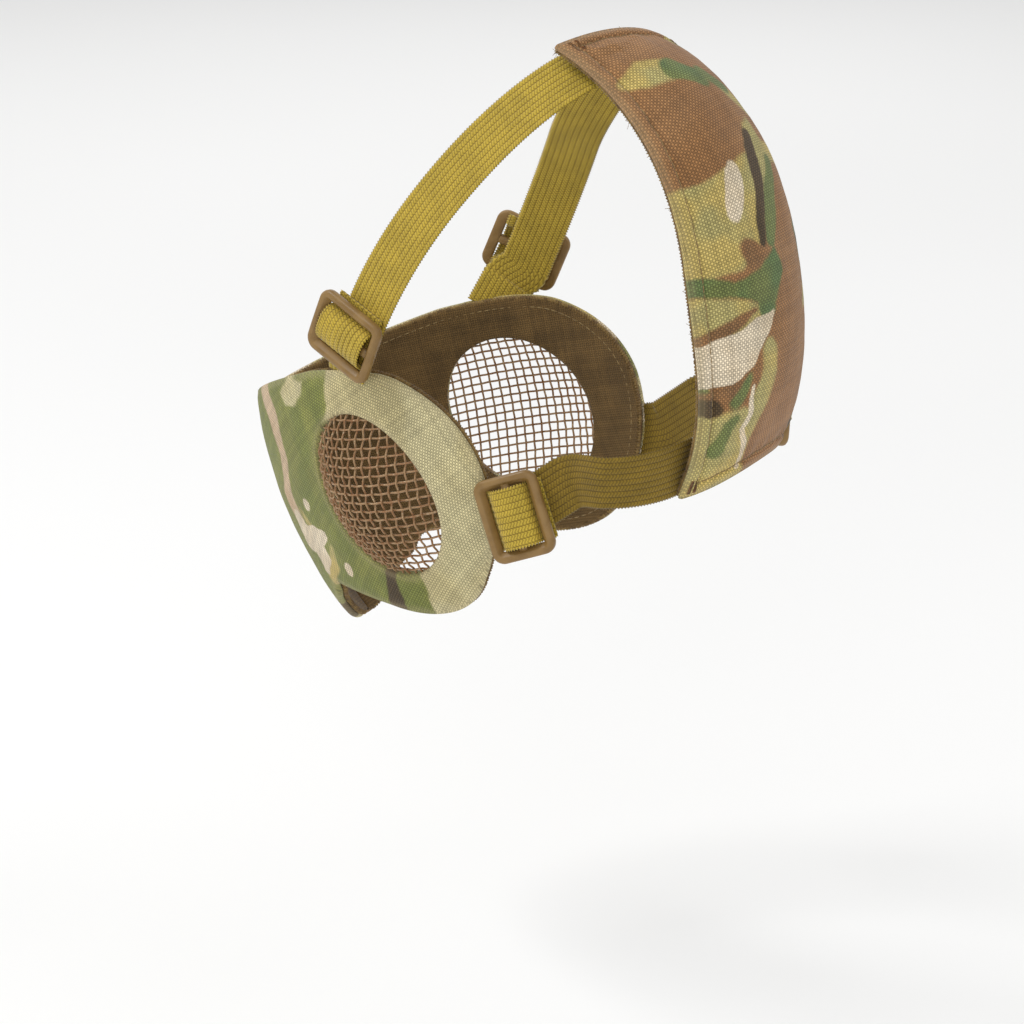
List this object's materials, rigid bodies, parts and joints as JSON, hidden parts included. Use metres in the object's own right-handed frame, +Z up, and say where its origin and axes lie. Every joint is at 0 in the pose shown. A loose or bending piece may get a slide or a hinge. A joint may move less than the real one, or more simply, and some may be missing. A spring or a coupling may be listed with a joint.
{
  "type": "half face mask",
  "caption": "Soft lower face mask with domed woven-wire cheek windows, worn on elastic straps with sliders that run to a padded crown-to-nape panel.",
  "frame": {"origin": "centre of the head that wears the mask", "axes": "+Z up towards the crown, -Y the way the face looks, +X the wearer's left"},
  "size_m": [0.1548, 0.221, 0.2427],
  "materials": {
    "camo_fabric": null,
    "pad_camo": null,
    "lining_fabric": "matt knit lining, ochre brown",
    "foam": "soft closed foam, hidden",
    "overlock_thread": "matt polyester thread",
    "steel_wire": "steel wire with a satin tan coating",
    "elastic": "ribbed knitted elastic, mustard olive",
    "plastic": "satin coyote brown moulding"
  },
  "bodies": {
    "harness": {"pad_cover": "pad_camo", "pad_foam": "foam", "pad_lining": "lining_fabric", "pad_binding": "overlock_thread", "strap_upper_left": "elastic", "strap_upper_right": "elastic", "strap_lower_left": "elastic", "strap_lower_right": "elastic", "seam_tape": "lining_fabric"},
    "left_half": {"shell_left": "camo_fabric", "foam_left": "foam", "lining_left": "lining_fabric", "edge_binding_left": "overlock_thread", "wire_mesh_left": "steel_wire", "mesh_rim_left": "steel_wire"},
    "right_half": {"shell_right": "camo_fabric", "foam_right": "foam", "lining_right": "lining_fabric", "edge_binding_right": "overlock_thread", "wire_mesh_right": "steel_wire", "mesh_rim_right": "steel_wire"},
    "upper_left_slider": {"slider_upper_left": "plastic", "strap_loop_upper_left": "elastic"},
    "upper_right_slider": {"slider_upper_right": "plastic", "strap_loop_upper_right": "elastic"},
    "lower_left_slider": {"slider_lower_left": "plastic", "strap_loop_lower_left": "elastic"},
    "lower_right_slider": {"slider_lower_right": "plastic", "strap_loop_lower_right": "elastic"}
  },
  "joints": [
    {"name": "left_half_fold", "type": "hinge", "parent": "harness", "child": "left_half", "pos_m": [0, -0.0904, -0.085], "axis": [0, -0.438, 0.899], "range_deg": [0, 8], "deforming": ["strap_upper_left", "strap_lower_left"]},
    {"name": "right_half_fold", "type": "hinge", "parent": "harness", "child": "right_half", "pos_m": [0, -0.0904, -0.085], "axis": [0, -0.438, 0.899], "range_deg": [-8, 0], "deforming": ["strap_upper_right", "strap_lower_right"]},
    {"name": "upper_left_slide", "type": "hinge", "parent": "left_half", "child": "upper_left_slider", "pos_m": [-0.02934, -0.00796, -0.00173], "axis": [-0.2455, -0.8917, 0.3803], "range_deg": [0, 20]},
    {"name": "upper_right_slide", "type": "hinge", "parent": "right_half", "child": "upper_right_slider", "pos_m": [0.02934, -0.00796, -0.00173], "axis": [-0.2455, 0.8917, -0.3803], "range_deg": [0, 20]},
    {"name": "lower_left_slide", "type": "hinge", "parent": "left_half", "child": "lower_left_slider", "pos_m": [-0.06445, 0.01051, -0.06901], "axis": [0.0086, -0.6039, 0.797], "range_deg": [0, 3.5]},
    {"name": "lower_right_slide", "type": "hinge", "parent": "harness", "child": "lower_right_slider", "pos_m": [-0.03147, 0.05107, -0.03585], "axis": [0.1406, -0.0101, -0.99], "range_deg": [-21, 0]}
  ],
  "couplings": [
    {"joint": "right_half_fold", "follows": "left_half_fold", "ratio": -1}
  ]
}
